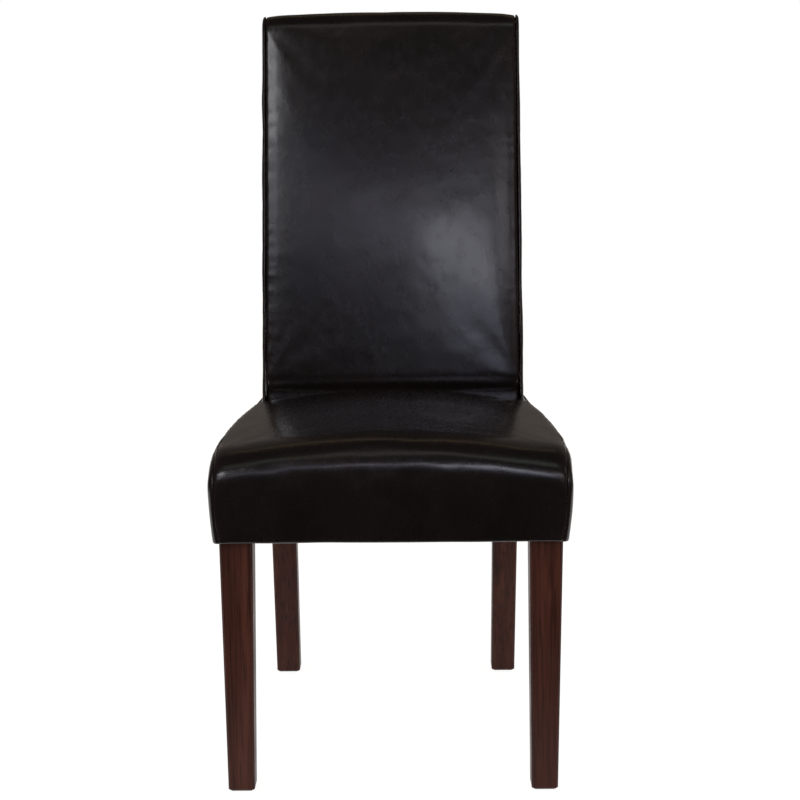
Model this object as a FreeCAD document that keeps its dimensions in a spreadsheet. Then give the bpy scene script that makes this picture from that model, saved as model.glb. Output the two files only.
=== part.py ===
import FreeCAD, Part
import math
import os
import re
import Sketcher

# Parsons dining chair: a mortised hardwood frame with corner blocks and woven webbing,
# padded with foam and covered all over in leather down to the bottom of the seat rails.
# Millimetres. X to the right, Y from the front of the seat to the rear, Z up. The model is
# drawn from the front of the seat and then set with its origin on the floor under its middle.

SIZES = [
    # Whole chair
    ("overall_height", 1043.5),
    ("back_lean", 10.9),
    # Seat cover, outside of the leather
    ("seat_half_width", 236.5),
    ("seat_widest_at", 130.0),
    ("seat_rear_margin", 3.9),
    ("seat_depth", 432.0),
    ("apron_bottom", 339.5),
    ("shoulder_above_rail", 6.5),
    ("shoulder_radius", 26.0),
    ("rear_shoulder_radius", 8.0),
    ("seat_crown_slope", 9.0),
    ("apron_draw_in", 5.0),
    ("front_roll_height", 42.0),
    ("front_roll_depth", 58.0),
    ("front_corner_radius", 8.0),
    ("seam_below_shoulder", 25.0),
    ("seat_seam_inset", 7.5),
    # Back cover, outside of the leather
    ("knee_above_shoulder", 25.0),
    ("back_thickness", 78.0),
    ("back_inside_seat", 37.0),
    ("back_top_draw_in", 1.5),
    ("back_swell", 6.0),
    ("back_top_crown", 4.0),
    ("back_top_front_radius", 28.0),
    ("back_top_rear_radius", 14.0),
    ("back_edge_radius", 7.0),
    ("back_seam_inset", 4.0),
    ("back_tuck", 9.0),
    ("rear_step", 0.4),
    # Leather, foam and the fit between them
    ("leather", 1.2),
    ("soft_gap", 0.3),
    ("hem_width", 24.0),
    # Front legs
    ("leg_setback", 10.7),
    ("leg_inside_seat", 15.5),
    ("leg_side", 43.0),
    ("leg_foot_draw_in", 4.0),
    ("leg_foot_side", 34.5),
    ("leg_foot_step_back", 3.3),
    ("edge_ease", 2.5),
    # Rear legs, which run on up as the posts of the back
    ("post_behind_seat", 34.0),
    ("post_inside_back", 5.2),
    ("post_width", 39.0),
    ("post_depth", 38.0),
    ("post_foot_splay", 39.0),
    ("post_foot_draw_in", 3.0),
    ("post_foot_side", 36.5),
    ("post_below_top", 38.0),
    # Rails, their tenons, corner blocks and screws
    ("rail_thickness", 20.0),
    ("rail_height", 84.0),
    ("back_rail_thickness", 20.0),
    ("top_rail_height", 60.0),
    ("top_rail_step", 2.0),
    ("middle_rail_height", 50.0),
    ("lower_rail_height", 50.0),
    ("lower_rail_rise", 42.0),
    ("tenon_thickness", 8.0),
    ("tenon_length", 22.0),
    ("tenon_shoulder", 17.0),
    ("back_tenon_shoulder", 8.0),
    ("glue_gap", 0.1),
    ("end_room", 1.0),
    ("block_arm", 62.0),
    ("block_wing", 14.0),
    ("block_web", 18.0),
    ("block_height", 36.0),
    ("block_rise", 24.0),
    ("screw_radius", 2.1),
    ("screw_head_radius", 4.2),
    ("screw_head_height", 2.6),
    ("screw_length", 30.0),
    ("screw_from_end", 13.0),
    # Floor glides
    ("glide_radius", 11.0),
    ("glide_thickness", 1.2),
    ("nail_radius", 1.3),
    ("nail_length", 15.0),
    ("nail_sunk", 0.6),
    # Webbing and dust cover
    ("strap_width", 50.0),
    ("strap_thickness", 1.2),
    ("strap_gap", 0.2),
    ("strap_inset", 3.0),
    ("cambric", 0.5),
    ("cambric_inset", 9.0),
    ("cambric_room", 1.0),
]

# Sizes that follow from the ones above, so the frame keeps its place inside the covers
FOLLOWING = [
    ("back_half_width", "seat_half_width - back_inside_seat"),
    ("back_top_half_width", "back_half_width - back_top_draw_in"),
    ("seat_rear_half_width", "back_half_width + seat_rear_margin"),
    ("shoulder_level",
     "apron_bottom + leather + soft_gap + rail_height + shoulder_above_rail"),
    ("back_level", "shoulder_level + knee_above_shoulder"),
    ("leg_outer_half_span", "seat_half_width - leg_inside_seat"),
    ("leg_foot_outer_half_span", "leg_outer_half_span - leg_foot_draw_in"),
    ("leg_foot_setback", "leg_setback + leg_foot_step_back"),
    ("post_front", "seat_depth + post_behind_seat"),
    ("post_outer_half_span", "back_half_width - post_inside_back"),
    ("post_foot_front", "post_front + post_foot_splay"),
    ("post_foot_outer_half_span", "post_outer_half_span - post_foot_draw_in"),
    ("post_top", "overall_height - post_below_top"),
]

doc = FreeCAD.newDocument("ParsonsChair")
sheet = doc.addObject("Spreadsheet::Sheet", "Sizes")


def fill_row(row, alias, content):
    """One named cell of the sheet."""
    sheet.set("A%d" % row, alias)
    sheet.set("B%d" % row, content)
    sheet.setAlias("B%d" % row, alias)


for row, (alias, number) in enumerate(SIZES, start=1):
    fill_row(row, alias, str(number))
for row, (alias, formula) in enumerate(FOLLOWING, start=len(SIZES) + 1):
    fill_row(row, alias, "=" + formula)
doc.recompute()


def size(alias):
    """The value that the sheet holds for one size."""
    return float(sheet.get(alias))


# Lengths that follow from the sheet
lean_sin = math.sin(math.radians(size("back_lean")))
lean_cos = math.cos(math.radians(size("back_lean")))
rail_bottom = size("apron_bottom") + size("leather") + size("soft_gap")
rail_top = rail_bottom + size("rail_height")
back_top_run = size("back_top_front_radius") + (
    size("overall_height")
    - size("back_level")
    - size("back_top_front_radius") * (1 - lean_sin)
) / lean_cos
overall_depth = (
    size("seat_depth")
    + (size("back_thickness") - size("back_top_rear_radius")) * lean_cos
    + (back_top_run - size("back_top_rear_radius")) * lean_sin
    + size("back_top_rear_radius")
)
back_rear = size("seat_depth") + size("back_thickness") / lean_cos
fill_row(len(SIZES) + len(FOLLOWING) + 1, "origin_from_front", str(overall_depth / 2))
doc.recompute()

SUBPARTS = []
ALIASES = re.compile(r"\b(" + "|".join(alias for alias, content in SIZES + FOLLOWING) + r")\b")
RAIL_BOTTOM = "(apron_bottom + leather + soft_gap)"
RAIL_TOP = "(apron_bottom + leather + soft_gap + rail_height)"
SIDE_SLOPE = (
    "((leg_outer_half_span - post_outer_half_span)"
    " / (post_front - leg_setback - leg_side))"
)


def bound(text):
    """An expression in sheet words, as the document's own expression."""
    return ALIASES.sub(r"Sizes.\1", text)


def new_body(name):
    """An empty body that is a sub-part of its own, set from the common origin."""
    body = doc.addObject("PartDesign::Body", name)
    body.Label = name
    body.setExpression("Placement.Base.y", "-Sizes.origin_from_front")
    SUBPARTS.append(body)
    return body


def new_feature(name, shape):
    """A sub-part whose shape is worked out in code from the sheet."""
    feature = doc.addObject("Part::Feature", name)
    feature.Label = name
    feature.Shape = shape
    feature.Placement = FreeCAD.Placement(
        FreeCAD.Vector(0, -overall_depth / 2, 0), FreeCAD.Rotation()
    )
    SUBPARTS.append(feature)
    return feature


def new_sketch(body, name, role, level):
    """A sketch on one of the body's own planes, at a bound distance along its normal."""
    sketch = body.newObject("Sketcher::SketchObject", name)
    for origin_feature in body.Origin.OriginFeatures:
        if origin_feature.Role == role:
            sketch.AttachmentSupport = [(origin_feature, "")]
    sketch.MapMode = "FlatFace"
    sketch.setExpression("AttachmentOffset.Base.z", bound(level))
    return sketch


def bind(sketch, kind, geometry, point, text):
    """One dimension from the sketch's origin, bound to an expression."""
    if kind == "Radius":
        index = sketch.addConstraint(Sketcher.Constraint(kind, geometry, 1.0))
    else:
        index = sketch.addConstraint(Sketcher.Constraint(kind, -1, 1, geometry, point, 1.0))
    sketch.setExpression("Constraints[%d]" % index, bound(text))


def outline(body, name, role, level, corners):
    """A closed outline of straight lines, each corner held by its two coordinates."""
    sketch = new_sketch(body, name, role, level)
    count = len(corners)
    start = [
        FreeCAD.Vector(math.cos(2 * math.pi * i / count), math.sin(2 * math.pi * i / count), 0)
        for i in range(count)
    ]
    for i in range(count):
        sketch.addGeometry(Part.LineSegment(start[i], start[(i + 1) % count]))
    for i in range(count):
        sketch.addConstraint(Sketcher.Constraint("Coincident", i, 2, (i + 1) % count, 1))
    for i, (across, along) in enumerate(corners):
        bind(sketch, "DistanceX", i, 1, across)
        bind(sketch, "DistanceY", i, 1, along)
    return sketch


def pad(body, sketch, length, backwards=False):
    """The outline made solid over a bound length."""
    feature = body.newObject("PartDesign::Pad", sketch.Name + "_pad")
    feature.Profile = sketch
    feature.setExpression("Length", bound(length))
    feature.Reversed = backwards
    return feature


AXIS_PLANES = {"X": "YZ_Plane", "Y": "XZ_Plane", "Z": "XY_Plane"}


def bore(body, name, axis, towards, start, centres, radius, depth):
    """Round holes along X, Y or Z from a bound start, towards +1 or -1 on that axis."""
    level = "-(%s)" % start if axis == "Y" else start
    sketch = new_sketch(body, name, AXIS_PLANES[axis], level)
    for i, (across, along) in enumerate(centres):
        centre = FreeCAD.Vector(10 * i, 5, 0)
        sketch.addGeometry(Part.Circle(centre, FreeCAD.Vector(0, 0, 1), 1.0))
        bind(sketch, "DistanceX", i, 3, across)
        bind(sketch, "DistanceY", i, 3, along)
        bind(sketch, "Radius", i, 0, radius)
    feature = body.newObject("PartDesign::Pocket", name + "_pocket")
    feature.Profile = sketch
    feature.setExpression("Length", bound(depth))
    feature.Reversed = towards > 0 if axis != "Y" else towards < 0
    return feature


def mortise(body, name, axis, towards, start, corners, depth):
    """A pocket with straight sides, cut along an axis from a bound start."""
    level = "-(%s)" % start if axis == "Y" else start
    feature = body.newObject("PartDesign::Pocket", name + "_pocket")
    feature.Profile = outline(body, name, AXIS_PLANES[axis], level, corners)
    feature.setExpression("Length", bound(depth))
    feature.Reversed = towards > 0 if axis != "Y" else towards < 0
    return feature


def tenon(body, name, axis, towards, start, corners):
    """A rail's tongue, pushed out of its end to fill a mortise."""
    level = "-(%s)" % start if axis == "Y" else start
    feature = body.newObject("PartDesign::Pad", name + "_pad")
    feature.Profile = outline(body, name, AXIS_PLANES[axis], level, corners)
    feature.setExpression("Length", bound("tenon_length"))
    feature.Reversed = towards < 0 if axis != "Y" else towards > 0
    return feature


def rectangle(left, right, near, far):
    """Corners of a rectangle from four bound edges."""
    return [(left, near), (right, near), (right, far), (left, far)]


def sided(side, text):
    """The bound distance on the right, or on the left for side -1."""
    return text if side > 0 else "-(%s)" % text


def side_name(side):
    return "right" if side > 0 else "left"


def eased_square(side, inner, outer, near, far):
    """A leg's section with its four corners eased, on the right or on the left."""
    corners = [
        (inner + " + edge_ease", near),
        (outer + " - edge_ease", near),
        (outer, near + " + edge_ease"),
        (outer, far + " - edge_ease"),
        (outer + " - edge_ease", far),
        (inner + " + edge_ease", far),
        (inner, far + " - edge_ease"),
        (inner, near + " + edge_ease"),
    ]
    return [(sided(side, across), along) for across, along in corners]


def leg_loft(body, side, sections):
    """A leg made through its sections, from the foot up, with the foot's own edge eased."""
    level, inner, outer, near, far = sections[0]
    small = eased_square(
        side, inner + " + edge_ease", outer + " - edge_ease",
        near + " + edge_ease", far + " - edge_ease")
    rows = [(level, small)]
    rows.append((level + " + edge_ease", eased_square(side, inner, outer, near, far)))
    for level, inner, outer, near, far in sections[1:]:
        rows.append((level, eased_square(side, inner, outer, near, far)))
    sketches = []
    for i, (level, corners) in enumerate(rows):
        sketches.append(outline(
            body, "%s_section_%d" % (body.Name, i + 1), "XY_Plane", level, corners))
    loft = body.newObject("PartDesign::AdditiveLoft", body.Name + "_loft")
    loft.Profile = sketches[0]
    loft.Sections = sketches[1:]
    loft.Ruled = True
    return loft


def tongue(middle, room=""):
    """A tenon's two edges about its middle line, with room round it for its mortise."""
    half = "tenon_thickness / 2" + room
    return "%s - (%s)" % (middle, half), "%s + (%s)" % (middle, half)


def seat_tenon(side, middle, room=""):
    """Corners of a seat rail's tenon or mortise, on the right or on the left."""
    low, high = tongue(middle, room)
    foot = "%s + tenon_shoulder - (0%s)" % (RAIL_BOTTOM, room)
    head = "%s - tenon_shoulder + (0%s)" % (RAIL_TOP, room)
    return rectangle(sided(side, low), sided(side, high), foot, head)


def back_tenon(height, rise, room=""):
    """Corners of a back rail's tenon or mortise before it leans: out and up."""
    low, high = tongue("back_rail_thickness / 2", room)
    foot = "%s + back_tenon_shoulder - (0%s)" % (rise, room)
    head = "%s + %s - back_tenon_shoulder + (0%s)" % (rise, height, room)
    return rectangle(low, high, foot, head)


ROOM = " + glue_gap"
MORTISE_DEPTH = "tenon_length + end_room"
FRONT_TENON_Y = "(leg_setback + rail_thickness / 2)"
SIDE_FRONT_TENON_X = "(leg_outer_half_span - rail_thickness / 2)"
SIDE_REAR_TENON_X = "(post_outer_half_span - rail_thickness / 2)"
REAR_TENON_Y = "(post_front + post_depth - rail_thickness / 2)"
TOP_RAIL_RISE = (
    "(post_top - back_level) / cos(back_lean * 1deg) - top_rail_height - top_rail_step"
)
BACK_RAILS = [
    ("back_top_rail", "top_rail_height", TOP_RAIL_RISE),
    ("back_middle_rail", "middle_rail_height",
     "(%s + lower_rail_rise + lower_rail_height - middle_rail_height) / 2" % TOP_RAIL_RISE),
    ("back_lower_rail", "lower_rail_height", "lower_rail_rise"),
]


def front_leg(side):
    """Square leg, tapered on all four sides below the apron, mortised for two rails."""
    body = new_body("front_%s_leg" % side_name(side))
    inner, outer = "leg_outer_half_span - leg_side", "leg_outer_half_span"
    near, far = "leg_setback", "leg_setback + leg_side"
    leg_loft(body, side, [
        ("glide_thickness", "leg_foot_outer_half_span - leg_foot_side",
         "leg_foot_outer_half_span", "leg_foot_setback", "leg_foot_setback + leg_foot_side"),
        ("apron_bottom", inner, outer, near, far),
        (RAIL_TOP, inner, outer, near, far),
    ])
    mortise(body, body.Name + "_front_mortise", "X", side, sided(side, inner),
            seat_tenon(1, FRONT_TENON_Y, ROOM), MORTISE_DEPTH)
    mortise(body, body.Name + "_side_mortise", "Y", -1, far,
            seat_tenon(side, SIDE_FRONT_TENON_X, ROOM), MORTISE_DEPTH)
    bore(body, body.Name + "_nail_hole", "Z", 1, "glide_thickness",
         [(sided(side, "leg_foot_outer_half_span - leg_foot_side / 2"),
           "leg_foot_setback + leg_foot_side / 2")], "nail_radius", "nail_length")
    return body


def rear_leg(side):
    """Rear leg and back post in one: splayed below the seat, upright in it, leaning above."""
    body = new_body("rear_%s_leg" % side_name(side))
    inner, outer = "post_outer_half_span - post_width", "post_outer_half_span"
    near, far = "post_front", "post_front + post_depth"
    top = "post_front + (post_top - back_level) * tan(back_lean * 1deg)"
    leg_loft(body, side, [
        ("glide_thickness", "post_foot_outer_half_span - post_foot_side",
         "post_foot_outer_half_span", "post_foot_front", "post_foot_front + post_foot_side"),
        ("apron_bottom", inner, outer, near, far),
        ("back_level", inner, outer, near, far),
        ("post_top", inner, outer, top, top + " + post_depth"),
    ])
    mortise(body, body.Name + "_rear_mortise", "X", side, sided(side, inner),
            seat_tenon(1, REAR_TENON_Y, ROOM), MORTISE_DEPTH)
    mortise(body, body.Name + "_side_mortise", "Y", 1, near,
            seat_tenon(side, SIDE_REAR_TENON_X, ROOM), MORTISE_DEPTH)
    for rail, height, rise in BACK_RAILS:
        corners = []
        for out, up in back_tenon(height, rise, ROOM):
            corners.append((
                "post_front + (%s) * sin(back_lean * 1deg) + (%s) * cos(back_lean * 1deg)"
                % (up, out),
                "back_level + (%s) * cos(back_lean * 1deg) - (%s) * sin(back_lean * 1deg)"
                % (up, out),
            ))
        mortise(body, "%s_%s_mortise" % (body.Name, rail), "X", side, sided(side, inner),
                corners, MORTISE_DEPTH)
    bore(body, body.Name + "_nail_hole", "Z", 1, "glide_thickness",
         [(sided(side, "post_foot_outer_half_span - post_foot_side / 2"),
           "post_foot_front + post_foot_side / 2")], "nail_radius", "nail_length")
    return body


FRONT_RAIL_FACE = "leg_setback + rail_thickness"
REAR_RAIL_FACE = "post_front + post_depth - rail_thickness"
SCREW_LEVEL = RAIL_BOTTOM + " + block_rise + block_height / 2"
FRONT_SCREW_X = "leg_outer_half_span - leg_side - block_arm + screw_from_end"
REAR_SCREW_X = "post_outer_half_span - post_width - block_arm + screw_from_end"
FRONT_SIDE_SCREW_Y = "leg_setback + leg_side + block_arm - screw_from_end"
REAR_SIDE_SCREW_Y = "post_front - block_arm + screw_from_end"
PILOT_DEPTH = "screw_length - block_wing + end_room"


def side_inner(y):
    """The inner face of a side rail at some depth, as a half width."""
    return "leg_outer_half_span - rail_thickness - %s * (%s - leg_setback - leg_side)" % (
        SIDE_SLOPE, y)


def cross_rail(name, half, front, screw_x, face, inward):
    """Front or rear seat rail between two legs, with a tenon and a screw hole at each end."""
    body = new_body(name)
    pad(body, outline(body, name + "_plan", "XY_Plane", RAIL_BOTTOM, rectangle(
        "-(%s)" % half, half, front, "%s + rail_thickness" % front)), "rail_height")
    middle = "(%s + rail_thickness / 2)" % front
    for side in (-1, 1):
        label = name + "_" + side_name(side)
        tenon(body, label + "_tenon", "X", side, sided(side, half), seat_tenon(1, middle))
        bore(body, label + "_pilot", "Y", -inward, face,
             [(sided(side, screw_x), SCREW_LEVEL)], "screw_radius", PILOT_DEPTH)
    return body


def side_rail(side):
    """Side seat rail, flush with the outer faces of its two legs, so it runs at a slant."""
    name = "%s_seat_rail" % side_name(side)
    body = new_body(name)
    near = "leg_setback + leg_side"
    corners = [
        (sided(side, "leg_outer_half_span"), near),
        (sided(side, "post_outer_half_span"), "post_front"),
        (sided(side, "post_outer_half_span - rail_thickness"), "post_front"),
        (sided(side, "leg_outer_half_span - rail_thickness"), near),
    ]
    pad(body, outline(body, name + "_plan", "XY_Plane", RAIL_BOTTOM, corners), "rail_height")
    tenon(body, name + "_front_tenon", "Y", -1, near, seat_tenon(side, SIDE_FRONT_TENON_X))
    tenon(body, name + "_rear_tenon", "Y", 1, "post_front",
          seat_tenon(side, SIDE_REAR_TENON_X))
    for end, place in (("front", FRONT_SIDE_SCREW_Y), ("rear", REAR_SIDE_SCREW_Y)):
        bore(body, "%s_%s_pilot" % (name, end), "X", side,
             sided(side, side_inner("(%s)" % place) + " - end_room"),
             [(place, SCREW_LEVEL)], "screw_radius", PILOT_DEPTH + " + end_room")
    return body


def corner_block(end, side):
    """Block glued and screwed into the corner behind a leg, with a wing along each rail."""
    name = "%s_%s_corner_block" % (end, side_name(side))
    body = new_body(name)
    if end == "front":
        step, inward = "+", 1
        leg_inner, leg_back = "leg_outer_half_span - leg_side", "leg_setback + leg_side"
        face, screw_x, screw_y = FRONT_RAIL_FACE, FRONT_SCREW_X, FRONT_SIDE_SCREW_Y
    else:
        step, inward = "-", -1
        leg_inner, leg_back = "post_outer_half_span - post_width", "post_front"
        face, screw_x, screw_y = REAR_RAIL_FACE, REAR_SCREW_X, REAR_SIDE_SCREW_Y
    arm_end = "(%s %s block_arm)" % (leg_back, step)
    wing_x = side_inner(arm_end) + " - block_wing"
    wing_y = "%s %s block_wing" % (face, step)
    corners = [
        (leg_inner + " - block_arm", face),
        (leg_inner, face),
        (leg_inner, leg_back),
        (side_inner("(%s)" % leg_back), leg_back),
        (side_inner(arm_end), arm_end),
        (wing_x, arm_end),
        (wing_x, "%s %s block_web" % (leg_back, step)),
        (leg_inner + " - block_web", wing_y),
        (leg_inner + " - block_arm", wing_y),
    ]
    corners = [(sided(side, along_x), along_y) for along_x, along_y in corners]
    pad(body, outline(body, name + "_plan", "XY_Plane", RAIL_BOTTOM + " + block_rise", corners),
        "block_height")
    bore(body, name + "_cross_hole", "Y", -inward, wing_y,
         [(sided(side, screw_x), SCREW_LEVEL)], "screw_radius", "block_wing + end_room")
    bore(body, name + "_side_hole", "X", side, sided(side, wing_x),
         [(screw_y, SCREW_LEVEL)], "screw_radius",
         "block_wing + end_room + block_arm * " + SIDE_SLOPE)
    return body


def back_rail(name, height, rise):
    """Cross rail of the back, drawn upright and then leaned with the posts."""
    body = new_body(name)
    half = "post_outer_half_span - post_width"
    pad(body, outline(body, name + "_front", "XZ_Plane", "0", rectangle(
        "-(%s)" % half, half, rise, "%s + %s" % (rise, height))),
        "back_rail_thickness", backwards=True)
    for side in (-1, 1):
        tenon(body, "%s_%s_tenon" % (name, side_name(side)), "X", side, sided(side, half),
              back_tenon(height, rise))
    body.setExpression("Placement.Rotation.Axis.x", "1")
    body.setExpression("Placement.Rotation.Axis.z", "0")
    body.setExpression("Placement.Rotation.Angle", "-Sizes.back_lean * 1deg")
    body.setExpression("Placement.Base.y", "Sizes.post_front - Sizes.origin_from_front")
    body.setExpression("Placement.Base.z", "Sizes.back_level")
    return body


for side in (-1, 1):
    front_leg(side)
    rear_leg(side)
    side_rail(side)
    corner_block("front", side)
    corner_block("rear", side)
cross_rail("front_seat_rail", "leg_outer_half_span - leg_side", "leg_setback",
           FRONT_SCREW_X, FRONT_RAIL_FACE, 1)
cross_rail("rear_seat_rail", "post_outer_half_span - post_width", REAR_RAIL_FACE,
           REAR_SCREW_X, REAR_RAIL_FACE, -1)
for rail, height, rise in BACK_RAILS:
    back_rail(rail, height, rise)
doc.recompute()


def fall_of_round(run, height, length):
    """How far a quarter round has still to rise, a given run from where it starts."""
    share = max(0.0, 1 - run / length)
    return height * (1 - math.sqrt(1 - share * share))


def seat_half_at(y):
    """Half the seat's width at its widest level: a long even bow from front to rear."""
    widest = size("seat_half_width")
    bow = (widest - size("seat_rear_half_width")) / (back_rear - size("seat_widest_at")) ** 2
    return widest - bow * (y - size("seat_widest_at")) ** 2


SHOULDER_STEPS = 4  # flat strips that make up each round shoulder


def seat_section(y, inset):
    """The seat seen from the front at one depth: drawn-in sides, round shoulders, a crown."""
    run = y - inset
    corner = size("front_corner_radius") - inset
    half = seat_half_at(y) - inset - fall_of_round(run, corner, corner)
    drop = fall_of_round(
        run, size("front_roll_height") - inset, size("front_roll_depth") - inset)
    under_back = max(0.0, (y - size("seat_depth")) / (back_rear - size("seat_depth")))
    radius = size("shoulder_radius") * (1 - under_back) + size("rear_shoulder_radius") * under_back
    slope = math.radians(size("seat_crown_slope") * (1 - under_back) + under_back)
    level = size("shoulder_level") + (size("shoulder_radius") - radius) - drop
    radius = radius - inset
    bottom = size("apron_bottom") + inset
    foot_half = half - size("apron_draw_in")
    shoulder_half = half - radius * (1 - math.sin(slope))
    shoulder = level + radius * math.cos(slope)
    crown = shoulder + shoulder_half * math.tan(slope / 2)
    right = [
        (foot_half, bottom),
        (half - size("apron_draw_in") / 4, (bottom + level) / 2),
        (half, level),
    ]
    for i in range(1, SHOULDER_STEPS + 1):
        turn = (math.pi / 2 - slope) * i / SHOULDER_STEPS
        right.append((half - radius * (1 - math.cos(turn)), level + radius * math.sin(turn)))
    outline_points = [FreeCAD.Vector(x, y, z) for x, z in right]
    outline_points += [FreeCAD.Vector(-x, y, z) for x, z in right[::-1]]
    over = len(right)
    crown_arc = Part.Arc(
        outline_points[over - 1], FreeCAD.Vector(0, y, crown), outline_points[over])
    return Part.Wire([
        *Part.makePolygon(outline_points[:over]).Edges,
        crown_arc.toShape(),
        *Part.makePolygon(outline_points[over:] + outline_points[:1]).Edges,
    ])


# Sections of the seat: shares of the front roll's depth, then even bays behind it
ROLL_STATIONS = [0.0, 0.04, 0.16, 0.42, 1.0]
SEAT_BAYS = 4


def seat_form(inset):
    """The seat as one solid, a given thickness inside the outer face of its cover."""
    roll = size("front_roll_depth")
    depths = [inset + share * (roll - inset) for share in ROLL_STATIONS]
    bay = (size("seat_depth") - roll) / SEAT_BAYS
    depths += [roll + bay * (i + 1) for i in range(SEAT_BAYS)]
    depths += [back_rear - size("rear_step") - inset]
    return Part.makeLoft([seat_section(y, inset) for y in depths], True, True)


def leaned(x, out, up):
    """A point of the back: out from its front face towards the rear, up along its lean."""
    return FreeCAD.Vector(
        x,
        size("seat_depth") + out * lean_cos + up * lean_sin,
        size("back_level") + up * lean_cos - out * lean_sin,
    )


OPEN_FOOT = 5  # times its inset, an inner form reaches below the outer one: the foot is open


def back_section(x, edge, inset):
    """The back seen from the side: swelled front, rolled top, straight rear, upright foot."""
    half = size("back_half_width")
    middling = 1 - (x / half) ** 2
    narrowing = (half - size("back_top_half_width")) / back_top_run / half
    gone = edge + inset
    top = back_top_run - size("back_top_crown") * (1 - middling) - gone
    front, rear = gone, size("back_thickness") - gone
    front_round = size("back_top_front_radius") - inset - edge / 2
    rear_round = size("back_top_rear_radius") - inset - edge / 2
    swell = 1 + (size("back_swell") - 1) * middling
    tuck = size("back_tuck") + OPEN_FOOT * inset

    def point(out, up):
        return leaned(x * (1 - narrowing * up), out, up)

    knee_up = rear * lean_sin / lean_cos
    knee = point(rear, knee_up)
    heel = point(rear + tuck * lean_sin, knee_up - tuck * lean_cos)
    toe = point(front, -tuck)
    bend = 1 - math.sqrt(0.5)
    edges = [
        Part.Arc(
            toe,
            point(front - swell, (top - front_round) / 2),
            point(front, top - front_round),
        ),
        Part.Arc(
            point(front, top - front_round),
            point(front + front_round * bend, top - front_round * bend),
            point(front + front_round, top),
        ),
        Part.LineSegment(point(front + front_round, top), point(rear - rear_round, top)),
        Part.Arc(
            point(rear - rear_round, top),
            point(rear - rear_round * bend, top - rear_round * bend),
            point(rear, top - rear_round),
        ),
        Part.LineSegment(point(rear, top - rear_round), knee),
        Part.LineSegment(knee, heel),
        Part.LineSegment(heel, toe),
    ]
    return Part.Wire([edge.toShape() for edge in edges])


# Sections of the back: shares of the edge's radius, then shares of the half width
EDGE_STATIONS = [0.0, 0.3, 1.0]
CROWN_STATIONS = [0.55]


def back_form(inset):
    """The back as one solid, a given thickness inside the outer face of its cover."""
    half = size("back_half_width") - inset
    radius = size("back_edge_radius") - inset
    right = [
        (half - share * radius, fall_of_round(share * radius, radius, radius))
        for share in EDGE_STATIONS
    ]
    right += [(share * half, 0.0) for share in CROWN_STATIONS]
    stations = [(-x, edge) for x, edge in right] + [(0.0, 0.0)] + right[::-1]
    return Part.makeLoft([back_section(x, edge, inset) for x, edge in stations], True, True)


def block(x_from, x_to, y_from, y_to, z_from, z_to):
    """A box between two corners."""
    return Part.makeBox(
        x_to - x_from, y_to - y_from, z_to - z_from, FreeCAD.Vector(x_from, y_from, z_from))


def prism(points, direction):
    """A flat outline pushed along a direction."""
    return Part.Face(Part.makePolygon(points + points[:1])).extrude(direction)


def seat_plan(inset, low, high, near, far):
    """An upright block whose sides follow the seat's bow, a given distance inside them."""
    middle = (near + far) / 2
    corners = [(near, 1), (far, 1), (far, -1), (near, -1)]
    points = [
        FreeCAD.Vector(side * (seat_half_at(y) - inset), y, low) for y, side in corners
    ]
    bows = [
        FreeCAD.Vector(side * (seat_half_at(middle) - inset), middle, low) for side in (1, -1)
    ]
    edges = [
        Part.Arc(points[0], bows[0], points[1]),
        Part.LineSegment(points[1], points[2]),
        Part.Arc(points[2], bows[1], points[3]),
        Part.LineSegment(points[3], points[0]),
    ]
    wire = Part.Wire([edge.toShape() for edge in edges])
    return Part.Face(wire).extrude(FreeCAD.Vector(0, 0, high - low))


def leg_passages(clearance, front_top, rear_top):
    """The four legs' squares as upright blocks up to two levels, with room round them."""
    legs = []
    for side in (-1, 1):
        for outer, width, near, depth, top in (
            ("leg_outer_half_span", "leg_side", "leg_setback", "leg_side", front_top),
            ("post_outer_half_span", "post_width", "post_front", "post_depth", rear_top),
        ):
            across = sorted((side * size(outer), side * (size(outer) - size(width))))
            legs.append(block(
                across[0] - clearance, across[1] + clearance,
                size(near) - clearance, size(near) + size(depth) + clearance,
                below, top,
            ))
    return Part.makeCompound(legs)


def across(points, half):
    """An outline seen from the side, given as Y and Z, carried across both ways."""
    corners = [FreeCAD.Vector(-half, y, z) for y, z in points]
    return prism(corners, FreeCAD.Vector(2 * half, 0, 0))


def upright(points, low, high):
    """An outline seen from above, given as X and Y, carried up."""
    corners = [FreeCAD.Vector(x, y, low) for x, y in points]
    return prism(corners, FreeCAD.Vector(0, 0, high - low))


def bent_line(front, top):
    """Where an upright plane turns to the back's lean at its knee: three points, Y and Z."""
    run = (top - size("back_level")) * lean_sin / lean_cos
    return [(front, below), (front, size("back_level")), (front + run, top)]


def mitred(half, edge, inward):
    """One end's strip of the hem seen from above, mitred at 45 degrees to its neighbours."""
    far = edge + inward * 2 * size("hem_width")
    near = edge - inward * BEYOND
    return [
        (-half - BEYOND, near), (half + BEYOND, near),
        (half - 2 * size("hem_width"), far), (-half + 2 * size("hem_width"), far),
    ]


def by_side(shape):
    """The left and the right solid of a shape that lies on both sides."""
    return sorted(shape.Solids, key=lambda solid: solid.CenterOfMass.x)


BEYOND = 20.0  # how far a cutting block reaches out past everything it cuts
PAST = 1.0  # how far one reaches past the face that it opens
skin = size("leather")
soft = skin + size("soft_gap")
below = size("apron_bottom") - BEYOND
above = size("overall_height") + BEYOND
frame_rear = size("post_front") + size("post_depth")
seat_rear = back_rear - size("rear_step")
strap_lift = 2 * size("strap_thickness") + size("strap_gap") + size("soft_gap")
foam_bottom = rail_top + strap_lift

seat_outer, seat_inner, seat_soft = (seat_form(inset) for inset in (0.0, skin, soft))
back_outer, back_inner, back_soft = (back_form(inset) for inset in (0.0, skin, soft))

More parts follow.
